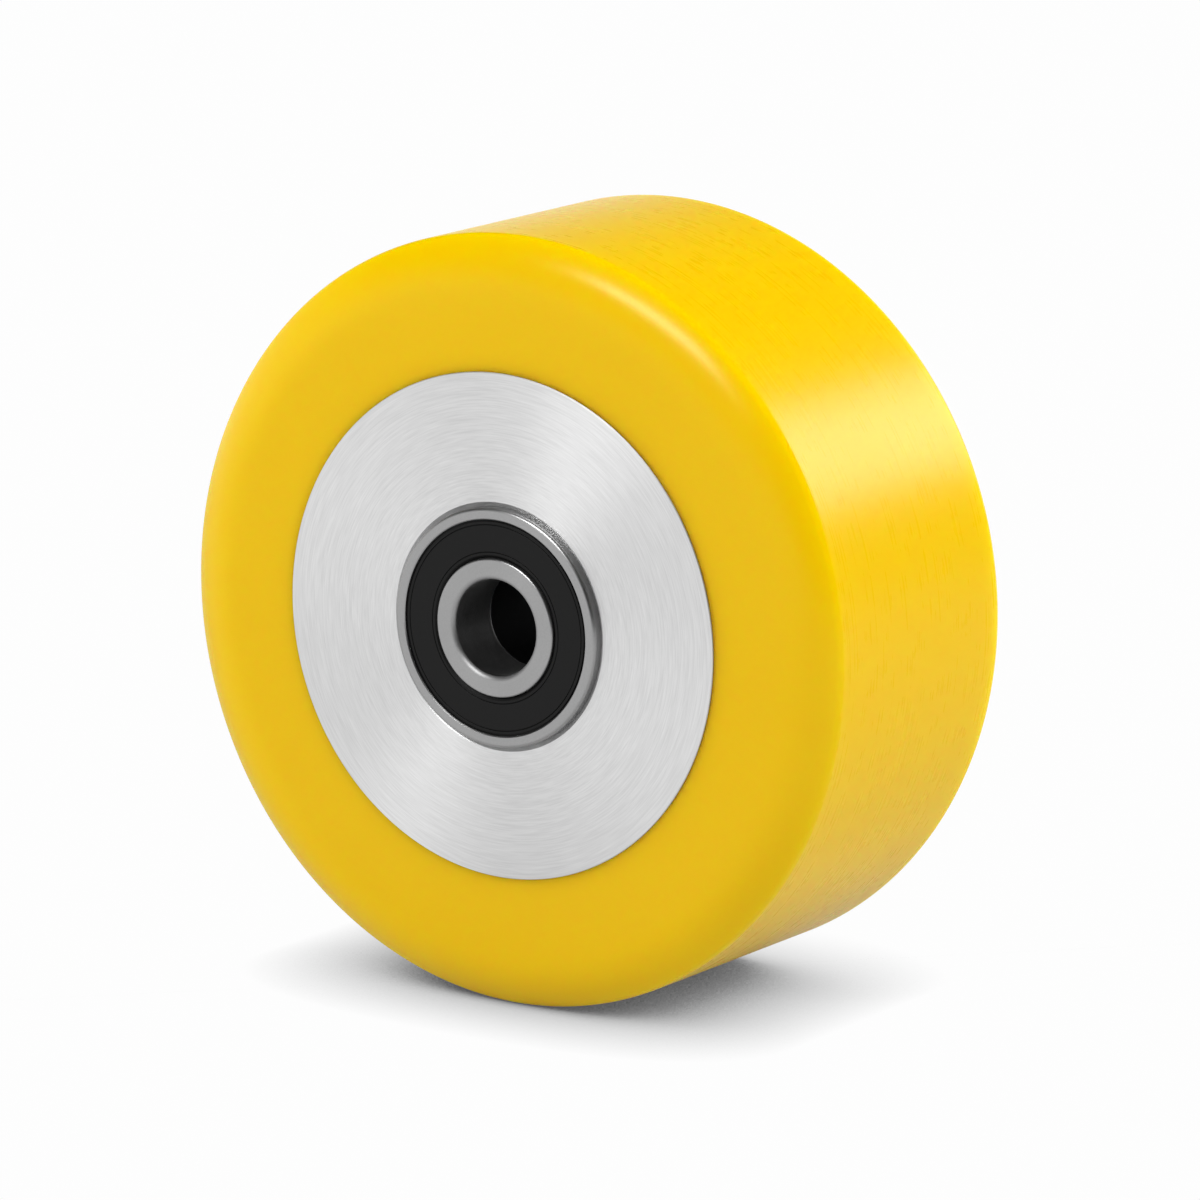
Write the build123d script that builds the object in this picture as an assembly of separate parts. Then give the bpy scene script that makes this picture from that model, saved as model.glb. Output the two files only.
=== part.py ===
"""Polyurethane wheel for a heavy castor: a cast tyre on a turned aluminium hub, running on
two sealed ball bearings that a spacer tube holds apart.

Millimetres, +Z up. The origin is the wheel's centre and the axle lies along Y. Front is
the -Y face and rear the +Y face, and the wheel is the same on both.
"""

import os
from math import sqrt

from build123d import *

# Tyre: polyurethane cast onto the hub, with a turned tread and moulded round shoulders
wheel_diameter = 200.0
shoulder_width = 7.0
shoulder_radius = 20.0
tread_edge_radius = 3.0

# Hub: one turned aluminium disc, a little proud of the tyre on each side
hub_diameter = 130.8
hub_width = 85.0
hub_proud = 0.3
hub_edge_chamfer = 0.4
hub_seat_chamfer = 1.2
hub_seat_ledge = 4.0
hub_cavity_chamfer = 0.5

# Ball bearing: its three standard sizes, and how far it stands out of the hub
bearing_bore = 25.0
bearing_diameter = 62.0
bearing_width = 17.0
bearing_proud = 2.0
seat_clearance = 0.01

# Bearing rings: ground steel
ball_count = 7
ball_clearance = 0.05
race_conformity = 0.52
inner_race_depth = 2.0
outer_race_depth = 2.2
inner_ring_bore_corner = 1.35
inner_ring_rim_corner = 0.6
outer_ring_corner = 1.0
outer_ring_lip_wall = 3.0
outer_ring_lip_chamfer = 0.25
snap_groove_inset = 0.9
snap_groove_width = 1.25
snap_groove_depth = 0.4

# Seal: a moulded rubber washer that snaps into the outer ring and wipes the inner one
seal_inset = 0.45
seal_thickness = 1.15
seal_to_cage = 0.4
seal_snap_clearance = 0.03
seal_lip_clearance = 0.1
seal_rim_gap = 0.55
seal_rim_width = 0.7
seal_foot_width = 1.2
seal_line_width = 0.3
seal_line_depth = 0.25
seal_ridge_width = 0.6
seal_lip_width = 0.75
seal_lip_thickness = 0.45

# Cage: two pressed steel ribbons riveted face to face between the balls
cage_sheet = 0.6
cage_band_width = 3.4
cage_pocket_clearance = 0.15
rivet_diameter = 1.6
rivet_hole_clearance = 0.03
rivet_head_diameter = 2.7
rivet_head_height = 0.5
rivet_head_taper = 0.35

# Spacer tube: steel, between the two inner rings
spacer_bore_relief = 0.7
spacer_wall = 3.3
spacer_chamfer = 0.5

# Sizes that follow: the balls take the width that the seals and the cage leave them
hub_radius = hub_diameter / 2
half_bearing = bearing_width / 2
bearing_radius = bearing_diameter / 2
bore_radius = bearing_bore / 2
pitch_radius = (bore_radius + bearing_radius) / 2
pocket_reach = half_bearing - seal_inset - seal_thickness - seal_to_cage
pocket_radius = pocket_reach - cage_sheet
ball_radius = pocket_radius - cage_pocket_clearance
race_radius = race_conformity * 2 * ball_radius
inner_race_bottom = pitch_radius - ball_radius - ball_clearance
outer_race_bottom = pitch_radius + ball_radius + ball_clearance
inner_shoulder = inner_race_bottom + inner_race_depth
outer_shoulder = outer_race_bottom - outer_race_depth
lip_radius = bearing_radius - outer_ring_lip_wall
half_spacer = hub_width / 2 + bearing_proud - bearing_width
bearing_centre = half_spacer + half_bearing
ball_spacing = 360 / ball_count


def turned(points, rounding=0):
    """A lathe-turned piece: points are (radius, y) and rounding is their corner radii."""
    outline = FilletPolyline(*points, radius=rounding, close=True)
    return revolve(make_face(outline), Axis.Y)


def both_ends(points):
    """The outline points of one end, then the same points mirrored for the other end."""
    return points + [(radius, -y) for radius, y in reversed(points)]


def places_on_pitch_circle(first_turn):
    """As many places as there are balls, evenly spaced, the first one that far from the top."""
    at_top = Pos(0, 0, pitch_radius)
    turns = [first_turn + number * ball_spacing for number in range(ball_count)]
    return [Rot(0, turn, 0) * at_top for turn in turns]


def ball_places():
    """The balls, with one at the top."""
    return places_on_pitch_circle(0)


def rivet_places():
    """The rivets, halfway between the balls."""
    return places_on_pitch_circle(ball_spacing / 2)


def make_tyre():
    """Flat tread, then a small edge arc that runs into a large shoulder arc."""
    side = hub_width / 2 - hub_proud
    edge_centre = Vector(wheel_diameter / 2 - tread_edge_radius, side - shoulder_width)
    reach = shoulder_radius - tread_edge_radius
    rise = shoulder_radius - shoulder_width
    shoulder_centre = edge_centre - Vector(sqrt(reach**2 - rise**2), rise)
    join = shoulder_centre + (edge_centre - shoulder_centre).normalized() * shoulder_radius
    tread_end = edge_centre + Vector(tread_edge_radius, 0)
    side_top = shoulder_centre + Vector(0, shoulder_radius)
    shoulder = [
        TangentArc(tread_end, join, tangent=(0, 1)),
        TangentArc(side_top, join, tangent=(1, 0)),
        Line(side_top, (hub_radius, side)),
    ]
    other_shoulder = [mirror(edge, Plane.XZ) for edge in shoulder]
    tread = Line(tread_end, (tread_end.X, -tread_end.Y))
    bond = Line((hub_radius, side), (hub_radius, -side))
    return revolve(make_face([*shoulder, *other_shoulder, tread, bond]), Axis.Y)


def make_hub():
    """A seat for a bearing at each end, with a ledge behind it and a cavity between."""
    seat = bearing_radius + seat_clearance
    cavity = bearing_radius - hub_seat_ledge
    face = hub_width / 2
    end = [
        (cavity, half_spacer - hub_cavity_chamfer),
        (cavity + hub_cavity_chamfer, half_spacer),
        (seat, half_spacer),
        (seat, face - hub_seat_chamfer),
        (seat + hub_seat_chamfer, face),
        (hub_radius - hub_edge_chamfer, face),
        (hub_radius, face - hub_edge_chamfer),
    ]
    return turned(both_ends(end))


def make_spacer_tube():
    """Its bore clears the axle, and its ends bear on the inner rings."""
    bore = bore_radius + spacer_bore_relief
    outside = bore + spacer_wall
    end = [
        (bore, half_spacer - spacer_chamfer),
        (bore + spacer_chamfer, half_spacer),
        (outside - spacer_chamfer, half_spacer),
        (outside, half_spacer - spacer_chamfer),
    ]
    return turned(both_ends(end))


def make_race(bottom, towards_balls):
    """The solid ring of round section that, cut away, leaves a raceway of that bottom radius."""
    return revolve(Pos(bottom + towards_balls * race_radius) * Circle(race_radius), Axis.Y)


def make_inner_ring():
    """Raceway outside, and a well rounded mouth where the axle goes in."""
    end = [(bore_radius, half_bearing), (inner_shoulder, half_bearing)]
    corners = [inner_ring_bore_corner, inner_ring_rim_corner]
    blank = turned(both_ends(end), corners + corners[::-1])
    return blank - make_race(inner_race_bottom, 1)


def make_outer_ring():
    """Raceway inside, and near each face a groove that the seal's bead snaps into."""
    groove_top = half_bearing - snap_groove_inset
    groove_foot = groove_top - snap_groove_width
    groove_radius = lip_radius + snap_groove_depth
    end = [
        (outer_shoulder, groove_foot),
        (groove_radius, groove_foot),
        (groove_radius, groove_top),
        (lip_radius, groove_top),
        (lip_radius, half_bearing - outer_ring_lip_chamfer),
        (lip_radius + outer_ring_lip_chamfer, half_bearing),
        (bearing_radius, half_bearing),
    ]
    corners = [0] * (len(end) - 1) + [outer_ring_corner]
    blank = turned(both_ends(end), corners + corners[::-1])
    return blank - make_race(outer_race_bottom, -1)


def make_seal():
    """Bead, raised rim, flat disc, ridge and wiping lip, from the outside in."""
    groove_top = half_bearing - snap_groove_inset
    bead_top = groove_top - seal_snap_clearance
    bead_foot = groove_top - snap_groove_width + seal_snap_clearance
    bead = lip_radius + snap_groove_depth - seal_snap_clearance
    top = half_bearing - seal_inset
    foot = top - seal_thickness
    line_foot = top - seal_line_depth
    rim = lip_radius - seal_rim_gap
    rim_line = rim - seal_rim_width
    tip = inner_shoulder + seal_lip_clearance
    ridge = tip + seal_lip_width
    ridge_line = ridge + seal_ridge_width
    outline = [
        (bead, bead_foot),
        (bead, bead_top),
        (rim, bead_top),
        (rim, top),
        (rim_line, top),
        (rim_line - seal_line_width / 2, line_foot),
        (rim_line - seal_line_width, top),
        (ridge_line + seal_line_width, top),
        (ridge_line + seal_line_width / 2, line_foot),
        (ridge_line, top),
        (ridge, top),
        (tip, foot + seal_lip_thickness),
        (tip, foot),
        (rim - seal_foot_width, foot),
        (rim - seal_foot_width, bead_foot),
    ]
    return turned(outline)


def make_cage_half():
    """A ribbon that lies flat between the balls and is pressed out round over each one."""
    inside = pitch_radius - cage_band_width / 2
    outside = pitch_radius + cage_band_width / 2
    flat = turned([(inside, 0), (outside, 0), (outside, cage_sheet), (inside, cage_sheet)])
    room = turned([(inside, 0), (outside, 0), (outside, pocket_reach), (inside, pocket_reach)])
    hole_radius = rivet_diameter / 2 + rivet_hole_clearance
    hole = Cylinder(hole_radius, 2 * pocket_reach, rotation=(90, 0, 0))
    pressed = flat + [place * Sphere(pocket_reach) for place in ball_places()]
    pockets = [place * Sphere(pocket_radius) for place in ball_places()]
    holes = [place * hole for place in rivet_places()]
    return (pressed & room) - pockets - holes


def make_rivet():
    """A shank through both ribbons, with a tapered head pressed up on each side."""
    shank = rivet_diameter / 2
    head = rivet_head_diameter / 2
    top = cage_sheet + rivet_head_height
    end = [(0, top), (head - rivet_head_taper, top), (head, cage_sheet), (shank, cage_sheet)]
    return turned(both_ends(end))


def make_bearing():
    """The pieces of one bearing at the origin, with its outer face towards +Y."""
    seal = make_seal()
    ribbon = make_cage_half()
    rivet = make_rivet()
    pieces = {
        "outer_ring": make_outer_ring(),
        "inner_ring": make_inner_ring(),
        "outer_seal": seal,
        "inner_seal": mirror(seal, Plane.XZ),
        "cage_outer_half": ribbon,
        "cage_inner_half": mirror(ribbon, Plane.XZ),
        "cage_rivets": Compound([place * rivet for place in rivet_places()]),
    }
    for number, place in enumerate(ball_places(), start=1):
        pieces[f"ball_{number}"] = place * Sphere(ball_radius)
    return pieces


def make_wheel():
    """Every piece in its place, by name."""
    pieces = {"tyre": make_tyre(), "hub": make_hub(), "spacer_tube": make_spacer_tube()}
    ends = {
        "front": Pos(0, -bearing_centre, 0) * Rot(0, 0, 180),
        "rear": Pos(0, bearing_centre, 0),
    }
    bearing = make_bearing()
    for end, seat in ends.items():
        for name, piece in bearing.items():
            pieces[f"{end}_{name}"] = seat * piece
    return pieces


os.makedirs("parts", exist_ok=True)
for name, piece in make_wheel().items():
    export_step(piece, f"parts/{name}.step")
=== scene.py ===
from math import asin, atan2, ceil, cos, pi, radians, sin, sqrt, tan

import bmesh
import bpy
from mathutils import Matrix, Vector


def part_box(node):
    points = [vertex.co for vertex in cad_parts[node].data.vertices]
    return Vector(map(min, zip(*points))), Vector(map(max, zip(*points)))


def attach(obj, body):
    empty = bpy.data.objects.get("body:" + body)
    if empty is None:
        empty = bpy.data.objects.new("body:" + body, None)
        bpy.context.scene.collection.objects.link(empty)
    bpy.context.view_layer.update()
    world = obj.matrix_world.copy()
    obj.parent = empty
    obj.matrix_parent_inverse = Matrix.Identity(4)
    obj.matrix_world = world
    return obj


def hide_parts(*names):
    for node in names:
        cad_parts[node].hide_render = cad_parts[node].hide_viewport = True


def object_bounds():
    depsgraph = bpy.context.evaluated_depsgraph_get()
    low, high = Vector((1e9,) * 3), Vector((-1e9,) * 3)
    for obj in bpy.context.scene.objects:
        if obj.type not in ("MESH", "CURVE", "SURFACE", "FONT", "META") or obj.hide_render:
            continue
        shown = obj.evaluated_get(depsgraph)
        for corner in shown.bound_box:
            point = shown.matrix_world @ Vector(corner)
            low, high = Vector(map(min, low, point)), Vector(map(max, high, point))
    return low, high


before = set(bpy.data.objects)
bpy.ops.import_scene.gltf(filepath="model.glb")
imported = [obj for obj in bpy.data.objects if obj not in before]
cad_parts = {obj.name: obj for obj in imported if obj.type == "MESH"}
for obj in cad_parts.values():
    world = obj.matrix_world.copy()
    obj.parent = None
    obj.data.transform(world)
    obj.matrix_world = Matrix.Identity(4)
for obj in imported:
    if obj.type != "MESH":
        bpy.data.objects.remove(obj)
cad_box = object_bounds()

# Camera
# A long lens a little above the axle and to the right of it, as the wheel stands on a white
# floor. The wheel's front face looks along -Y.
mm = 0.001
camera_azimuth = radians(34.74)
camera_elevation = radians(12.35)
camera_distance = 1935 * mm
camera_lens = 225.0
camera_aim_right = 1.52 * mm
camera_aim_up = -0.61 * mm

away = Vector((
    -sin(camera_azimuth) * cos(camera_elevation),
    cos(camera_azimuth) * cos(camera_elevation),
    -sin(camera_elevation),
))
right = Vector((cos(camera_azimuth), sin(camera_azimuth), 0))
up = right.cross(away)
camera = bpy.data.objects.new("camera", bpy.data.cameras.new("long lens"))
camera.data.lens = camera_lens
camera.location = right * camera_aim_right + up * camera_aim_up - away * camera_distance
camera.rotation_euler = away.to_track_quat("-Z", "Y").to_euler()
bpy.context.scene.collection.objects.link(camera)
bpy.context.scene.camera = camera
bpy.context.scene.view_settings.view_transform = "Standard"


# Tyre
# A thick ring of polyurethane, cast onto the hub. Its sides and round shoulders come smooth
# out of the mould, and its tread is turned true afterwards, which leaves fine lines round it.
tread_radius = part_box("tyre")[1].x
tyre_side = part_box("tyre")[1].y
bond_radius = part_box("hub")[1].x
shoulder_width = 7 * mm
shoulder_rounding = 20 * mm
tread_edge_rounding = 3 * mm
bond_edge_rounding = 0.04 * mm
steps_round = 288
steps_per_right_angle = 16
cloud_size = 40 * mm
skin_grain = 6 * mm
skin_roughness = (0.22, 0.26)
tread_line_spacing = 0.7 * mm
tread_line_length = 1.0
tread_roughness_more = (0.03, 0.05)
tread_blend = (0.4 * mm, 0.05 * mm)
noise_range = (0.3, 0.7)
light_depth = 14 * mm
hold_share = 1 / 3
shortest_hold = 0.001 * mm
same_place = 0.0001 * mm


def rounded(corners):
    """Outline points from corners (radius, y, rounding): each corner becomes an arc.

    Beside each arc stands one more point, a hold, which keeps the flat there flat when the
    finished surface is shaded smooth.
    """
    spots = [Vector(corner[:2]) for corner in corners]
    ways = [(spots[i - len(spots) + 1] - spot).normalized() for i, spot in enumerate(spots)]
    turns = [ways[i - 1].angle_signed(way) for i, way in enumerate(ways)]
    reaches = [corner[2] * tan(abs(turn) / 2) for corner, turn in zip(corners, turns)]
    spare = [
        (spots[i - len(spots) + 1] - spot).length - reaches[i] - reaches[i - len(spots) + 1]
        for i, spot in enumerate(spots)
    ]
    points = []
    for i, (spot, turn, reach) in enumerate(zip(spots, turns, reaches)):
        rounding = corners[i][2]
        if not rounding:
            points.append(spot)
            continue
        start = spot - ways[i - 1] * reach
        end = spot + ways[i] * reach
        hold_before = min(rounding, spare[i - 1]) * hold_share
        hold_after = min(rounding, spare[i]) * hold_share
        quarter_turn = -pi / 2 if turn > 0 else pi / 2
        centre = start + Matrix.Rotation(quarter_turn, 2) @ ways[i - 1] * rounding
        steps = ceil(abs(turn) / (pi / 2) * steps_per_right_angle)
        if hold_before > shortest_hold:
            points.append(start - ways[i - 1] * hold_before)
        rotations = [Matrix.Rotation(-turn * step / steps, 2) for step in range(steps)]
        points += [centre + rotation @ (start - centre) for rotation in rotations]
        points.append(end)
        if hold_after > shortest_hold:
            points.append(end + ways[i] * hold_after)
    gaps = [(point - points[i - 1]).length for i, point in enumerate(points)]
    return [point for point, gap in zip(points, gaps) if gap > same_place]


def mirrored(corners):
    """The corners of the +Y end, then the same ones in reverse for the -Y end."""
    return corners + [(radius, -y, rounding) for radius, y, rounding in reversed(corners)]


def add_node(tree, kind, settings=None, links=None):
    """Adds a node, with its settings and with a value or another node's socket for its inputs."""
    node = tree.nodes.new(kind)
    for name, value in (settings or {}).items():
        setattr(node, name, value)
    for name, value in (links or {}).items():
        if isinstance(value, bpy.types.NodeSocket):
            tree.links.new(value, node.inputs[name])
        else:
            node.inputs[name].default_value = value
    return node


def make_lathe():
    """The tree that turns an outline in the XY plane, with its radius along X, round the Y axis."""
    tree = bpy.data.node_groups.new("turned on a lathe", "GeometryNodeTree")
    tree.is_modifier = True
    inputs = {
        "Outline": "NodeSocketGeometry",
        "Mean Radius": "NodeSocketFloat",
        "Steps Round": "NodeSocketInt",
        "Material": "NodeSocketMaterial",
    }
    for name, kind in inputs.items():
        tree.interface.new_socket(name, in_out="INPUT", socket_type=kind)
    tree.interface.new_socket("Piece", in_out="OUTPUT", socket_type="NodeSocketGeometry")
    given = add_node(tree, "NodeGroupInput").outputs
    circle = add_node(tree, "GeometryNodeCurvePrimitiveCircle", links={
        "Resolution": given["Steps Round"], "Radius": given["Mean Radius"],
    })
    path = add_node(tree, "GeometryNodeSetCurveNormal", {"mode": "Z_UP"}, {
        "Curve": circle.outputs["Curve"],
    })
    inwards = add_node(tree, "ShaderNodeMath", {"operation": "MULTIPLY"}, {
        0: given["Mean Radius"], 1: -1.0,
    })
    shift = add_node(tree, "ShaderNodeCombineXYZ", links={"X": inwards.outputs[0]})
    profile = add_node(tree, "GeometryNodeMeshToCurve", links={"Mesh": given["Outline"]})
    placed = add_node(tree, "GeometryNodeTransform", links={
        "Geometry": profile.outputs["Curve"], "Translation": shift.outputs["Vector"],
    })
    swept = add_node(tree, "GeometryNodeCurveToMesh", links={
        "Curve": path.outputs["Curve"], "Profile Curve": placed.outputs["Geometry"],
    })
    laid = add_node(tree, "GeometryNodeTransform", links={
        "Geometry": swept.outputs["Mesh"], "Rotation": (-pi / 2, 0, 0),
    })
    smooth = add_node(tree, "GeometryNodeSetShadeSmooth", links={
        "Geometry": laid.outputs["Geometry"],
    })
    real = add_node(tree, "GeometryNodeRealizeInstances", links={
        "Geometry": smooth.outputs["Geometry"],
    })
    painted = add_node(tree, "GeometryNodeSetMaterial", links={
        "Geometry": real.outputs["Geometry"], "Material": given["Material"],
    })
    add_node(tree, "NodeGroupOutput", links={"Piece": painted.outputs["Geometry"]})
    return tree


lathe = make_lathe()
lathe_sockets = {item.name: item.identifier for item in lathe.interface.items_tree}


def turn(name, outline, material):
    """Turns an outline into a closed mesh piece of that name and material."""
    mesh = bpy.data.meshes.new(name)
    count = len(outline)
    edges = [(i, (i + 1) % count) for i in range(count)]
    mesh.from_pydata([(*point, 0) for point in outline], edges, [])
    piece = bpy.data.objects.new(name, mesh)
    bpy.context.scene.collection.objects.link(piece)
    modifier = piece.modifiers.new("lathe", "NODES")
    modifier.node_group = lathe
    modifier[lathe_sockets["Mean Radius"]] = sum(point[0] for point in outline) / count
    modifier[lathe_sockets["Steps Round"]] = steps_round
    modifier[lathe_sockets["Material"]] = material
    turned = piece.evaluated_get(bpy.context.evaluated_depsgraph_get())
    piece.data = bpy.data.meshes.new_from_object(turned)
    piece.modifiers.clear()
    shell = bmesh.new()
    shell.from_mesh(piece.data)
    bmesh.ops.recalc_face_normals(shell, faces=shell.faces)
    shell.to_mesh(piece.data)
    shell.free()
    return piece


def stands_for(piece, node, body):
    """The piece takes a CAD node's place on its body, and that CAD node is hidden."""
    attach(piece, body)
    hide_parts(node)


def linear(hex_colour):
    """An sRGB hex colour as the linear colour that a shader's socket takes."""
    parts = [int(hex_colour[i:i + 2], 16) / 255 for i in (0, 2, 4)]
    return [*(p / 12.92 if p <= 0.04045 else ((p + 0.055) / 1.055) ** 2.4 for p in parts), 1.0]


def new_material(name):
    """A material's tree and its two standing nodes: the shader, and the object's coordinates."""
    material = bpy.data.materials.new(name)
    material.use_nodes = True
    tree = material.node_tree
    shader = tree.nodes["Principled BSDF"]
    place = add_node(tree, "ShaderNodeTexCoord").outputs["Object"]
    return material, tree, shader, place


def round_axle(tree, place):
    """The shaded point's direction and distance from the axle, and how far along it lies."""
    part = add_node(tree, "ShaderNodeSeparateXYZ", links={"Vector": place}).outputs
    flat = add_node(tree, "ShaderNodeCombineXYZ", links={"X": part["X"], "Y": part["Z"]}).outputs[0]
    way = add_node(tree, "ShaderNodeVectorMath", {"operation": "NORMALIZE"}, {0: flat})
    radius = add_node(tree, "ShaderNodeVectorMath", {"operation": "LENGTH"}, {0: flat})
    return way.outputs["Vector"], radius.outputs["Value"], part["Y"]


def lines_round_axle(tree, place, spacing, length):
    """Noise drawn out into lines round the axle, as a cutting tool leaves them.

    Spacing is the distance between two lines, and length is that of a line, as an angle.
    """
    way, radius, depth = round_axle(tree, place)
    along = add_node(tree, "ShaderNodeVectorMath", {"operation": "SCALE"}, {
        0: way, "Scale": 1 / length,
    })
    across = add_node(tree, "ShaderNodeMath", {"operation": "ADD"}, {0: radius, 1: depth})
    count = add_node(tree, "ShaderNodeMath", {"operation": "DIVIDE"}, {
        0: across.outputs[0], 1: spacing,
    })
    rise = add_node(tree, "ShaderNodeCombineXYZ", links={"Z": count.outputs[0]})
    spot = add_node(tree, "ShaderNodeVectorMath", {"operation": "ADD"}, {
        0: along.outputs[0], 1: rise.outputs[0],
    })
    noise = add_node(tree, "ShaderNodeTexNoise", links={
        "Vector": spot.outputs[0], "Scale": 1.0, "Detail": 3.0,
    })
    return noise.outputs["Fac"]


def make_polyurethane():
    """Cast polyurethane: light goes deep into it, and its skin has a soft gloss.

    The tread was turned on a lathe. It is a little duller, some lines more than others, and its
    lines are drawn coarser than real ones, so that they show.
    """
    material, tree, shader, place = new_material("cast_polyurethane")
    cloud = add_node(tree, "ShaderNodeTexNoise", links={
        "Vector": place, "Scale": 1 / cloud_size, "Detail": 2.0,
    })
    colour = add_node(tree, "ShaderNodeMix", {"data_type": "RGBA"}, {
        "Factor": cloud.outputs["Fac"], 6: linear("E8BE00"), 7: linear("EBC200"),
    })
    tree.links.new(colour.outputs[2], shader.inputs["Base Color"])
    lines = lines_round_axle(tree, place, tread_line_spacing, tread_line_length)
    radius = round_axle(tree, place)[1]
    on_tread = add_node(tree, "ShaderNodeMapRange", links={
        "Value": radius,
        "From Min": tread_radius - tread_blend[0],
        "From Max": tread_radius - tread_blend[1],
    })
    skin = add_node(tree, "ShaderNodeTexNoise", links={
        "Vector": place, "Scale": 1 / skin_grain, "Detail": 3.0,
    })
    gloss = add_node(tree, "ShaderNodeMapRange", links={
        "Value": skin.outputs["Fac"], "To Min": skin_roughness[0], "To Max": skin_roughness[1],
    })
    streaks = add_node(tree, "ShaderNodeMapRange", links={
        "Value": lines,
        "From Min": noise_range[0],
        "From Max": noise_range[1],
        "To Min": tread_roughness_more[0],
        "To Max": tread_roughness_more[1],
    })
    rough = add_node(tree, "ShaderNodeMath", {"operation": "MULTIPLY_ADD"}, {
        0: on_tread.outputs[0], 1: streaks.outputs[0], 2: gloss.outputs[0],
    })
    tree.links.new(rough.outputs[0], shader.inputs["Roughness"])
    shader.inputs["Subsurface Weight"].default_value = 1.0
    shader.inputs["Subsurface Radius"].default_value = (0.5, 1.0, 0.3)
    shader.inputs["Subsurface Scale"].default_value = light_depth
    shader.inputs["Specular IOR Level"].default_value = 0.25
    shader.inputs["Specular Tint"].default_value = linear("FFF9CB")
    return material


def tyre_corners():
    """One end of the tyre: its side, the large shoulder arc and the tread's small edge arc."""
    reach = shoulder_rounding - tread_edge_rounding
    rise = shoulder_rounding - shoulder_width
    run = sqrt(reach**2 - rise**2)
    lean = atan2(run, rise)
    shoulder_start = tread_radius - tread_edge_rounding - run
    return [
        (bond_radius, tyre_side, bond_edge_rounding),
        (shoulder_start + shoulder_rounding * tan(lean / 2), tyre_side, shoulder_rounding),
        (
            tread_radius,
            tyre_side - shoulder_width + tread_edge_rounding * tan((pi / 2 - lean) / 2),
            tread_edge_rounding,
        ),
    ]


tyre = turn("cast_tyre", rounded(mirrored(tyre_corners())), make_polyurethane())
stands_for(tyre, "tyre", "wheel")


# Hub
# One disc of aluminium, faced and bored on a lathe, so fine lines run round both of its
# faces. A bearing is pressed into the chamfered mouth at each end, against a ledge.
hub_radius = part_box("hub")[1].x
hub_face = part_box("hub")[1].y
hub_rim_rounding = 0.25 * mm
seat_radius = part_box("front_outer_ring")[1].x
seat_chamfer = 1.2 * mm
seat_foot = -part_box("front_outer_ring")[1].y
seat_ledge = 4 * mm
cavity_radius = seat_radius - seat_ledge
cavity_chamfer = 0.5 * mm
hub_edge_break = 0.06 * mm
facing_line_spacing = 0.35 * mm
facing_line_length = 0.15
fine_line_spacing = 0.2 * mm
fine_line_length = 0.12
facing_line_depth = 0.01 * mm
aluminium_roughness = (0.3, 0.42)
rim_roughness_more = 0.25
across_the_lines = 0.25


def make_turned_aluminium():
    """Faced aluminium: a pale satin, whose gloss spreads across the tool's lines into a fan.

    The lines are drawn a little coarser than real ones, so that they show. The rim is duller.
    """
    material, tree, shader, place = new_material("turned_aluminium")
    shader.inputs["Metallic"].default_value = 1.0
    shader.inputs["Anisotropic"].default_value = 0.75
    shader.inputs["Anisotropic Rotation"].default_value = across_the_lines
    lines = lines_round_axle(tree, place, facing_line_spacing, facing_line_length)
    fine = lines_round_axle(tree, place, fine_line_spacing, fine_line_length)
    colour = add_node(tree, "ShaderNodeMix", {"data_type": "RGBA"}, {
        "Factor": lines, 6: linear("DCDCDC"), 7: linear("FFFFFF"),
    })
    tree.links.new(colour.outputs[2], shader.inputs["Base Color"])
    radius = round_axle(tree, place)[1]
    rim = add_node(tree, "ShaderNodeMapRange", links={
        "Value": radius,
        "From Min": hub_radius - hub_rim_rounding,
        "From Max": hub_radius - hub_rim_rounding / 2,
        "To Max": rim_roughness_more,
    })
    satin = add_node(tree, "ShaderNodeMapRange", links={
        "Value": fine, "To Min": aluminium_roughness[0], "To Max": aluminium_roughness[1],
    })
    rough = add_node(tree, "ShaderNodeMath", {"operation": "ADD"}, {
        0: satin.outputs[0], 1: rim.outputs[0],
    })
    tree.links.new(rough.outputs[0], shader.inputs["Roughness"])
    both = add_node(tree, "ShaderNodeMath", {"operation": "ADD"}, {0: lines, 1: fine})
    bump = add_node(tree, "ShaderNodeBump", links={
        "Height": both.outputs[0], "Strength": 0.5, "Distance": facing_line_depth,
    })
    tree.links.new(bump.outputs[0], shader.inputs["Normal"])
    tangent = add_node(tree, "ShaderNodeTangent", {"direction_type": "RADIAL", "axis": "Y"})
    tree.links.new(tangent.outputs[0], shader.inputs["Tangent"])
    return material


hub = turn("turned_hub", rounded(mirrored([
    (cavity_radius, seat_foot - cavity_chamfer, hub_edge_break),
    (cavity_radius + cavity_chamfer, seat_foot, hub_edge_break),
    (seat_radius, seat_foot, hub_edge_break),
    (seat_radius, hub_face - seat_chamfer, hub_edge_break),
    (seat_radius + seat_chamfer, hub_face, hub_edge_break),
    (hub_radius, hub_face, hub_rim_rounding),
])), make_turned_aluminium())
stands_for(hub, "hub", "wheel")


# Bearing rings
# Bearing steel, hardened and then ground all over, which leaves a grey satin face. The mouth
# of the inner ring is well rounded for the axle, and the raceways run between the two rings.
ring_low, ring_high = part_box("rear_outer_ring")
bearing_middle = (ring_low.y + ring_high.y) / 2
half_bearing = (ring_high.y - ring_low.y) / 2
outer_radius = ring_high.x
inner_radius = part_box("rear_inner_ring")[1].x
bearing_section = 18.5 * mm
bore_radius = outer_radius - bearing_section
ball_low, ball_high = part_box("rear_ball_1")
ball_radius = (ball_high.x - ball_low.x) / 2
pitch_radius = (ball_high.z + ball_low.z) / 2
ball_clearance = 0.05 * mm
race_conformity = 0.52
race_rounding = race_conformity * 2 * ball_radius
inner_race_depth = 2 * mm
outer_race_depth = 2.2 * mm
lip_wall = 3 * mm
outer_ring_lip = outer_radius - lip_wall
outer_ring_shoulder = pitch_radius + ball_radius + ball_clearance - outer_race_depth
snap_groove_inset = 0.9 * mm
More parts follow.
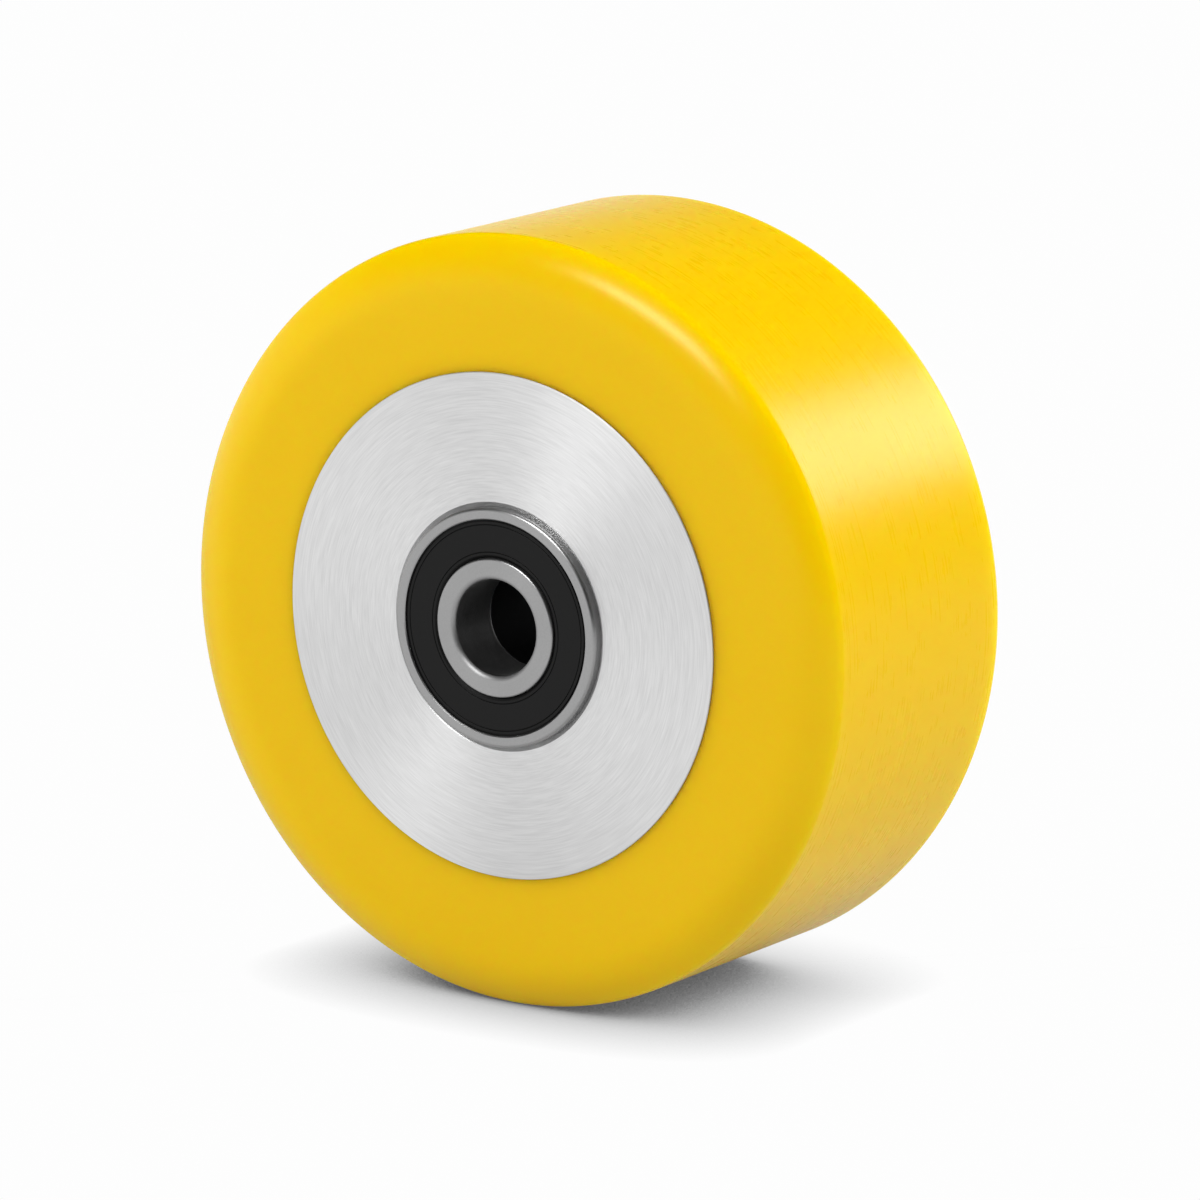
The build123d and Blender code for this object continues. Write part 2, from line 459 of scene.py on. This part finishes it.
snap_groove_width = 1.25 * mm
snap_groove_depth = 0.4 * mm
snap_groove_top = half_bearing - snap_groove_inset
snap_groove_foot = snap_groove_top - snap_groove_width
lip_chamfer = 0.25 * mm
outer_ring_rounding = 1 * mm
mouth_rounding = 1.35 * mm
rim_rounding = 0.6 * mm
ground_edge_break = 0.06 * mm
race_steps = 24
grinding_line_spacing = 0.3 * mm
grinding_line_length = 0.4
grinding_line_depth = 0.003 * mm
steel_grain = 0.4 * mm
face_roughness = (0.3, 0.4)
bore_roughness = (0.28, 0.4)
mouth_roughness_more = 0.15
mouth_blend = 0.6
bore_blend = (0.02 * mm, 0.1 * mm)


def raceway(centre_radius, depth, outwards):
    """Outline points of a raceway, from its +Y edge to its -Y edge, as plain corners.

    Outwards is 1 where the raceway's bottom lies outside its centre, and -1 where it lies inside.
    """
    half_width = sqrt(race_rounding**2 - (race_rounding - depth) ** 2)
    edge = asin(half_width / race_rounding)
    angles = [edge - 2 * edge * step / race_steps for step in range(race_steps + 1)]
    return [
        (centre_radius + outwards * race_rounding * cos(angle), race_rounding * sin(angle), 0)
        for angle in angles
    ]


def shifted(outline, end):
    """A bearing piece's outline at one end of the hub: +1 is the rear one and -1 the front one."""
    return [Vector((radius, end * (y + bearing_middle))) for radius, y in outline]


def make_ground_steel():
    """Ground bearing steel: a grey satin, streaked in the bore and duller at its rounded mouth."""
    material, tree, shader, place = new_material("ground_bearing_steel")
    shader.inputs["Metallic"].default_value = 1.0
    shader.inputs["Anisotropic"].default_value = 0.5
    shader.inputs["Anisotropic Rotation"].default_value = across_the_lines
    lines = lines_round_axle(tree, place, grinding_line_spacing, grinding_line_length)
    grain = add_node(tree, "ShaderNodeTexNoise", links={
        "Vector": place, "Scale": 1 / steel_grain, "Detail": 3.0,
    })
    colour = add_node(tree, "ShaderNodeMix", {"data_type": "RGBA"}, {
        "Factor": grain.outputs["Fac"], 6: linear("A6A6A6"), 7: linear("B8B8B8"),
    })
    tree.links.new(colour.outputs[2], shader.inputs["Base Color"])
    radius = round_axle(tree, place)[1]
    mouth = add_node(tree, "ShaderNodeMapRange", links={
        "Value": radius,
        "From Min": bore_radius + mouth_blend * mouth_rounding,
        "From Max": bore_radius + mouth_rounding,
        "To Min": mouth_roughness_more,
        "To Max": 0.0,
    })
    in_bore = add_node(tree, "ShaderNodeMapRange", links={
        "Value": radius,
        "From Min": bore_radius + bore_blend[0],
        "From Max": bore_radius + bore_blend[1],
        "To Min": 1.0,
        "To Max": 0.0,
    })
    satin = add_node(tree, "ShaderNodeMapRange", links={
        "Value": lines, "To Min": face_roughness[0], "To Max": face_roughness[1],
    })
    face = add_node(tree, "ShaderNodeMath", {"operation": "ADD"}, {
        0: satin.outputs[0], 1: mouth.outputs[0],
    })
    honed = add_node(tree, "ShaderNodeMapRange", links={
        "Value": lines,
        "From Min": noise_range[0],
        "From Max": noise_range[1],
        "To Min": bore_roughness[0],
        "To Max": bore_roughness[1],
    })
    rough = add_node(tree, "ShaderNodeMix", {"data_type": "FLOAT"}, {
        "Factor": in_bore.outputs[0], 2: face.outputs[0], 3: honed.outputs[0],
    })
    tree.links.new(rough.outputs[0], shader.inputs["Roughness"])
    bump = add_node(tree, "ShaderNodeBump", links={
        "Height": lines, "Strength": 0.1, "Distance": grinding_line_depth,
    })
    tree.links.new(bump.outputs[0], shader.inputs["Normal"])
    tangent = add_node(tree, "ShaderNodeTangent", {"direction_type": "RADIAL", "axis": "Y"})
    tree.links.new(tangent.outputs[0], shader.inputs["Tangent"])
    return material


outer_ring_end = [
    (outer_ring_shoulder, snap_groove_foot, ground_edge_break),
    (outer_ring_lip + snap_groove_depth, snap_groove_foot, 0),
    (outer_ring_lip + snap_groove_depth, snap_groove_top, 0),
    (outer_ring_lip, snap_groove_top, 0),
    (outer_ring_lip, half_bearing - lip_chamfer, ground_edge_break),
    (outer_ring_lip + lip_chamfer, half_bearing, ground_edge_break),
    (outer_radius, half_bearing, outer_ring_rounding),
]
race_offset = ball_radius + ball_clearance - race_rounding
outer_race = raceway(pitch_radius + race_offset, outer_race_depth, 1)
outer_ring_outline = rounded(mirrored(outer_ring_end) + outer_race[::-1])
inner_ring_end = [
    (bore_radius, half_bearing, mouth_rounding),
    (inner_radius, half_bearing, rim_rounding),
]
inner_race = raceway(pitch_radius - race_offset, inner_race_depth, -1)
inner_ring_other_end = mirrored(inner_ring_end)[len(inner_ring_end):]
inner_ring_outline = rounded(inner_ring_end + inner_race + inner_ring_other_end)

ground_steel = make_ground_steel()
ends = {"front": -1, "rear": 1}
for end, side in ends.items():
    ring = turn(f"{end}_ground_outer_ring", shifted(outer_ring_outline, side), ground_steel)
    stands_for(ring, f"{end}_outer_ring", "wheel")
    ring = turn(f"{end}_ground_inner_ring", shifted(inner_ring_outline, side), ground_steel)
    stands_for(ring, f"{end}_inner_ring", "axle_side")


# Seals
# Washers of black nitrile rubber, moulded, that snap into a groove of the outer ring and wipe
# the inner one. Two fine lines are sunk into each, one beside its rim and one beside its lip.
seal_edge_rounding = 0.08 * mm
seal_inset = 0.45 * mm
seal_thickness = 1.15 * mm
snap_clearance = 0.03 * mm
rim_gap = 0.55 * mm
rim_width = 0.7 * mm
foot_width = 1.2 * mm
line_width = 0.3 * mm
line_depth = 0.25 * mm
lip_clearance = 0.1 * mm
lip_width = 0.75 * mm
lip_thickness = 0.45 * mm
ridge_width = 0.6 * mm
seal_face = half_bearing - seal_inset
seal_foot = seal_face - seal_thickness
seal_bead = outer_ring_lip + snap_groove_depth - snap_clearance
bead_top = snap_groove_top - snap_clearance
bead_foot = snap_groove_foot + snap_clearance
seal_rim = outer_ring_lip - rim_gap
rim_line = seal_rim - rim_width
line_foot = seal_face - line_depth
lip_tip = inner_radius + lip_clearance
lip_ridge = lip_tip + lip_width
ridge_line = lip_ridge + ridge_width
foot_edge = seal_rim - foot_width
mould_grain = 0.5 * mm
mould_grain_depth = 0.02 * mm
rubber_roughness = (0.35, 0.5)


def make_moulded_rubber():
    """Moulded nitrile rubber: near black, dull, with the faint grain of the mould."""
    material, tree, shader, place = new_material("moulded_nitrile_rubber")
    grain = add_node(tree, "ShaderNodeTexNoise", links={
        "Vector": place, "Scale": 1 / mould_grain, "Detail": 4.0,
    })
    colour = add_node(tree, "ShaderNodeMix", {"data_type": "RGBA"}, {
        "Factor": grain.outputs["Fac"], 6: linear("0B0B0B"), 7: linear("131313"),
    })
    tree.links.new(colour.outputs[2], shader.inputs["Base Color"])
    rough = add_node(tree, "ShaderNodeMapRange", links={
        "Value": grain.outputs["Fac"],
        "To Min": rubber_roughness[0],
        "To Max": rubber_roughness[1],
    })
    tree.links.new(rough.outputs[0], shader.inputs["Roughness"])
    bump = add_node(tree, "ShaderNodeBump", links={
        "Height": grain.outputs["Fac"], "Strength": 0.3, "Distance": mould_grain_depth,
    })
    tree.links.new(bump.outputs[0], shader.inputs["Normal"])
    shader.inputs["Specular IOR Level"].default_value = 0.2
    return material


def dress(node, material):
    """Gives a CAD node's own mesh that one material."""
    node.data.materials.clear()
    node.data.materials.append(material)


moulded_rubber = make_moulded_rubber()
seal_outline = rounded([
    (seal_bead, bead_foot, seal_edge_rounding),
    (seal_bead, bead_top, seal_edge_rounding),
    (seal_rim, bead_top, seal_edge_rounding),
    (seal_rim, seal_face, seal_edge_rounding),
    (rim_line, seal_face, seal_edge_rounding),
    (rim_line - line_width / 2, line_foot, seal_edge_rounding / 2),
    (rim_line - line_width, seal_face, seal_edge_rounding),
    (ridge_line + line_width, seal_face, seal_edge_rounding),
    (ridge_line + line_width / 2, line_foot, seal_edge_rounding / 2),
    (ridge_line, seal_face, seal_edge_rounding),
    (lip_ridge, seal_face, seal_edge_rounding),
    (lip_tip, seal_foot + lip_thickness, seal_edge_rounding),
    (lip_tip, seal_foot, seal_edge_rounding),
    (foot_edge, seal_foot, seal_edge_rounding),
    (foot_edge, bead_foot, seal_edge_rounding),
])
for end, side in ends.items():
    seal = turn(f"{end}_moulded_outer_seal", shifted(seal_outline, side), moulded_rubber)
    stands_for(seal, f"{end}_outer_seal", "wheel")
    dress(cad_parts[f"{end}_inner_seal"], moulded_rubber)


# Balls and cages
# Seven lapped steel balls to a bearing, each in a pocket of a cage. The cage is two ribbons
# pressed from bright steel strip and riveted face to face between the balls.
haze_size = 2 * mm
ball_roughness = (0.04, 0.12)
strip_grain = 1.2 * mm
strip_grain_depth = 0.01 * mm
strip_streaks = (1, 1, 6)
strip_roughness = (0.2, 0.4)


def make_lapped_steel():
    """Lapped bearing steel: almost a mirror, with a breath of haze."""
    material, tree, shader, place = new_material("lapped_bearing_steel")
    shader.inputs["Metallic"].default_value = 1.0
    haze = add_node(tree, "ShaderNodeTexNoise", links={
        "Vector": place, "Scale": 1 / haze_size, "Detail": 3.0,
    })
    colour = add_node(tree, "ShaderNodeMix", {"data_type": "RGBA"}, {
        "Factor": haze.outputs["Fac"], 6: linear("C3C2C0"), 7: linear("CDCCCA"),
    })
    tree.links.new(colour.outputs[2], shader.inputs["Base Color"])
    rough = add_node(tree, "ShaderNodeMapRange", links={
        "Value": haze.outputs["Fac"], "To Min": ball_roughness[0], "To Max": ball_roughness[1],
    })
    tree.links.new(rough.outputs[0], shader.inputs["Roughness"])
    return material


def make_pressed_strip():
    """Pressed steel strip: bright, with the rolling mill's faint streaks and soft dimples."""
    material, tree, shader, place = new_material("pressed_steel_strip")
    shader.inputs["Metallic"].default_value = 1.0
    stretch = add_node(tree, "ShaderNodeMapping", links={"Vector": place, "Scale": strip_streaks})
    grain = add_node(tree, "ShaderNodeTexNoise", links={
        "Vector": stretch.outputs[0], "Scale": 1 / strip_grain, "Detail": 4.0,
    })
    colour = add_node(tree, "ShaderNodeMix", {"data_type": "RGBA"}, {
        "Factor": grain.outputs["Fac"], 6: linear("A6A4A0"), 7: linear("BDBBB7"),
    })
    tree.links.new(colour.outputs[2], shader.inputs["Base Color"])
    rough = add_node(tree, "ShaderNodeMapRange", links={
        "Value": grain.outputs["Fac"],
        "To Min": strip_roughness[0],
        "To Max": strip_roughness[1],
    })
    tree.links.new(rough.outputs[0], shader.inputs["Roughness"])
    bump = add_node(tree, "ShaderNodeBump", links={
        "Height": grain.outputs["Fac"], "Strength": 0.2, "Distance": strip_grain_depth,
    })
    tree.links.new(bump.outputs[0], shader.inputs["Normal"])
    return material


lapped_steel = make_lapped_steel()
pressed_strip = make_pressed_strip()
for name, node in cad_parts.items():
    if "_ball_" in name:
        dress(node, lapped_steel)
    if "_cage_" in name:
        dress(node, pressed_strip)


# Spacer tube
# Steel tube with a black oxide finish, cut to length and bored clear of the axle. It stands
# between the two inner rings, so that the axle's nut can be done up tight.
spacer_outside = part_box("spacer_tube")[1].x
spacer_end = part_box("spacer_tube")[1].y
spacer_wall = 3.3 * mm
spacer_bore = spacer_outside - spacer_wall
spacer_chamfer = 0.5 * mm
tube_line_spacing = 0.3 * mm
tube_line_length = 0.8
tube_line_depth = 0.02 * mm
tube_roughness = (0.4, 0.6)


def make_black_oxide():
    """Black oxide on turned steel: a thin, dull, blue-black skin that keeps the tool's lines."""
    material, tree, shader, place = new_material("black_oxide_steel")
    shader.inputs["Metallic"].default_value = 1.0
    lines = lines_round_axle(tree, place, tube_line_spacing, tube_line_length)
    colour = add_node(tree, "ShaderNodeMix", {"data_type": "RGBA"}, {
        "Factor": lines, 6: linear("1B1B1D"), 7: linear("2C2C2F"),
    })
    tree.links.new(colour.outputs[2], shader.inputs["Base Color"])
    rough = add_node(tree, "ShaderNodeMapRange", links={
        "Value": lines, "To Min": tube_roughness[0], "To Max": tube_roughness[1],
    })
    tree.links.new(rough.outputs[0], shader.inputs["Roughness"])
    bump = add_node(tree, "ShaderNodeBump", links={
        "Height": lines, "Strength": 0.3, "Distance": tube_line_depth,
    })
    tree.links.new(bump.outputs[0], shader.inputs["Normal"])
    return material


spacer = turn("blackened_spacer_tube", rounded(mirrored([
    (spacer_bore, spacer_end - spacer_chamfer, ground_edge_break),
    (spacer_bore + spacer_chamfer, spacer_end, ground_edge_break),
    (spacer_outside - spacer_chamfer, spacer_end, ground_edge_break),
    (spacer_outside, spacer_end - spacer_chamfer, ground_edge_break),
])), make_black_oxide())
stands_for(spacer, "spacer_tube", "axle_side")


# Studio
# A white floor without an end, which glows with the wheel's shadow painted on it, a plain sky
# that gloss sees as a bright horizon, a broad soft light from the right, and two soft boxes: one
# in front and above, one behind to the right.
floor_reach = 20.0
floor_white = 0.985
# How bright the floor's glow is to gloss: behind the wheel's front face it is dimmer, a painted
# shade of the wheel.
floor_gloss_in_front = 0.8
floor_gloss_painted_shade = 0.55
floor_front_edge = (-0.16, -0.08)
floor_far = (0.8, 2.5)
far_gloss_right = 0.3
floor_bounce = "BBBBBB"
# The wheel's shadow painted on the floor's glow, from how much of the sky the wheel hides.
shadow_samples = 8
shadow_reach = 30 * mm
shadow_lean = radians(12)
shadow_core = 0.128
shadow_depth = 0.005
shadow_softness = 0.45
sky_level = 0.6
sky_lean = -0.3
horizon_foot = -0.1
dark_above = radians(30)
bright_side = -0.1
dark_side = 0.5
box_distance = 3.0
front_box = Vector((-0.10, -0.80, 0.64)).normalized()
front_box_light = 1.6
front_box_size = (radians(26), radians(9))
back_box = Vector((0.42, 0.80, 0.37)).normalized()
back_box_light = 0.62
back_box_size = (radians(16), radians(16))
side_light = Vector((0.8, 0.58, 0.1))
side_light_power = 3.6
side_light_width = radians(80)


def make_floor():
    """A floor at the wheel's lowest point: it glows white, with a shadow painted where the wheel
    hides its sky.

    The camera sees it glow white with that painted soft shadow, which is worked out from how much
    sky the wheel hides and is not cast by the lamps. Gloss sees it glow less bright behind the
    front face, a painted shade of the wheel, and it is painted dimmer far off to the right, as the
    sky is.
    What lights matt surfaces is a plain pale floor.
    """
    mesh = bpy.data.meshes.new("floor")
    level = cad_box[0].z
    corners = [(-1, -1), (1, -1), (1, 1), (-1, 1)]
    points = [(x * floor_reach, y * floor_reach, level) for x, y in corners]
    mesh.from_pydata(points, [], [(0, 1, 2, 3)])
    floor = bpy.data.objects.new("floor", mesh)
    bpy.context.scene.collection.objects.link(floor)
    material, tree, shader, place = new_material("white_floor")
    # Painted shadow: the floor's glow is dimmed where the wheel hides the sky near it, leaning away
    # from the back box.
    level_way = Vector((back_box.x, back_box.y, 0)).normalized()
    upright = level_way * sin(shadow_lean) + Vector((0, 0, cos(shadow_lean)))
    lean = add_node(tree, "ShaderNodeCombineXYZ", links=dict(zip("XYZ", upright)))
    open_sky = add_node(tree, "ShaderNodeAmbientOcclusion", {"samples": shadow_samples}, {
        "Distance": shadow_reach, "Normal": lean.outputs[0],
    })
    share = add_node(tree, "ShaderNodeMapRange", links={
        "Value": open_sky.outputs["AO"], "From Min": shadow_core, "To Min": shadow_depth,
    })
    soft = add_node(tree, "ShaderNodeMath", {"operation": "POWER"}, {
        0: share.outputs[0], 1: shadow_softness,
    })
    # Painted shade of the wheel: to gloss, the floor glows less bright behind its front face.
    part = add_node(tree, "ShaderNodeSeparateXYZ", links={"Vector": place}).outputs
    distance = add_node(tree, "ShaderNodeVectorMath", {"operation": "LENGTH"}, {0: place})
    in_front = add_node(tree, "ShaderNodeMapRange", {"interpolation_type": "SMOOTHSTEP"}, {
        "Value": part["Y"],
        "From Min": floor_front_edge[0],
        "From Max": floor_front_edge[1],
        "To Min": floor_gloss_in_front,
        "To Max": floor_gloss_painted_shade,
    })
    far_off = add_node(tree, "ShaderNodeMapRange", {"interpolation_type": "SMOOTHSTEP"}, {
        "Value": distance.outputs["Value"], "From Min": floor_far[0], "From Max": floor_far[1],
    })
    way = add_node(tree, "ShaderNodeVectorMath", {"operation": "NORMALIZE"}, {0: place})
    way_part = add_node(tree, "ShaderNodeSeparateXYZ", links={"Vector": way.outputs[0]}).outputs
    fade_right = add_node(tree, "ShaderNodeMapRange", {"interpolation_type": "SMOOTHSTEP"}, {
        "Value": way_part["X"],
        "From Min": bright_side,
        "From Max": dark_side,
        "To Min": 1.0,
        "To Max": far_gloss_right,
    })
    gloss = add_node(tree, "ShaderNodeMix", {"data_type": "FLOAT"}, {
        "Factor": far_off.outputs[0], 2: in_front.outputs[0], 3: fade_right.outputs[0],
    })
    path = add_node(tree, "ShaderNodeLightPath").outputs
    white = add_node(tree, "ShaderNodeMix", {"data_type": "FLOAT"}, {
        "Factor": path["Is Glossy Ray"], 2: floor_white, 3: gloss.outputs[0],
    })
    shaded = add_node(tree, "ShaderNodeMath", {"operation": "MULTIPLY"}, {
        0: soft.outputs[0], 1: white.outputs[0],
    })
    # The floor glows with its painted shadow and painted shade, instead of being lit.
    seen = add_node(tree, "ShaderNodeEmission", links={"Strength": shaded.outputs[0]})
    matt = add_node(tree, "ShaderNodeBsdfDiffuse", links={"Color": linear(floor_bounce)})
    either = add_node(tree, "ShaderNodeMixShader", links={
        0: path["Is Diffuse Ray"], 1: seen.outputs[0], 2: matt.outputs[0],
    })
    tree.links.new(either.outputs[0], tree.nodes["Material Output"].inputs["Surface"])
    tree.nodes.remove(shader)
    mesh.materials.append(material)


def make_sky():
    """White to the camera, and plain to matt surfaces, with a little less from the right.

    To gloss it is bright at the horizon, and fades upwards and towards the right.
    """
    world = bpy.data.worlds.new("studio sky")
    world.use_nodes = True
    world.cycles.sampling_method = "NONE"
    tree = world.node_tree
    direction = add_node(tree, "ShaderNodeTexCoord").outputs["Generated"]
    part = add_node(tree, "ShaderNodeSeparateXYZ", links={"Vector": direction}).outputs
    fade_up = add_node(tree, "ShaderNodeMapRange", {"interpolation_type": "SMOOTHSTEP"}, {
        "Value": part["Z"],
        "From Min": horizon_foot,
        "From Max": sin(dark_above),
        "To Min": 1.0,
        "To Max": 0.0,
    })
    fade_right = add_node(tree, "ShaderNodeMapRange", {"interpolation_type": "SMOOTHSTEP"}, {
        "Value": part["X"],
        "From Min": bright_side,
        "From Max": dark_side,
        "To Min": 1.0,
        "To Max": 0.0,
    })
    fade = add_node(tree, "ShaderNodeMath", {"operation": "MULTIPLY"}, {
        0: fade_up.outputs[0], 1: fade_right.outputs[0],
    })
    plain = add_node(tree, "ShaderNodeMath", {"operation": "MULTIPLY_ADD"}, {
        0: part["X"], 1: sky_lean, 2: sky_level,
    })
    path = add_node(tree, "ShaderNodeLightPath").outputs
    glossy = add_node(tree, "ShaderNodeMath", {"operation": "MAXIMUM"}, {
        0: path["Is Glossy Ray"], 1: path["Is Transmission Ray"],
    })
    seen = add_node(tree, "ShaderNodeMix", {"data_type": "FLOAT"}, {
        "Factor": glossy.outputs[0], 2: plain.outputs[0], 3: fade.outputs[0],
    })
    strength = add_node(tree, "ShaderNodeMix", {"data_type": "FLOAT"}, {
        "Factor": path["Is Camera Ray"], 2: seen.outputs[0], 3: 1.0,
    })
    tree.links.new(strength.outputs[0], tree.nodes["Background"].inputs["Strength"])
    tree.nodes["Background"].inputs["Color"].default_value = linear("FFFFFF")
    bpy.context.scene.world = world


def make_soft_box(name, direction, amount, size):
    """A rectangular soft box that way from the wheel, with the light that it gives there."""
    light = bpy.data.lights.new(name, "AREA")
    light.shape = "RECTANGLE"
    light.size, light.size_y = (2 * box_distance * tan(angle / 2) for angle in size)
    light.energy = amount * pi * box_distance**2
    lamp = bpy.data.objects.new(name, light)
    lamp.location = direction * box_distance
    lamp.rotation_euler = direction.to_track_quat("Z", "Y").to_euler()
    lamp.visible_camera = False
    bpy.context.scene.collection.objects.link(lamp)


def make_side_light():
    """A broad soft light from the right and behind, too even for its gloss to show."""
    light = bpy.data.lights.new("side_light", "SUN")
    light.energy = side_light_power
    light.angle = side_light_width
    lamp = bpy.data.objects.new("side_light", light)
    lamp.location = side_light
    lamp.rotation_euler = side_light.to_track_quat("Z", "Y").to_euler()
    lamp.visible_glossy = False
    bpy.context.scene.collection.objects.link(lamp)


make_floor()
make_sky()
make_side_light()
make_soft_box("front_soft_box", front_box, front_box_light, front_box_size)
make_soft_box("back_soft_box", back_box, back_box_light, back_box_size)
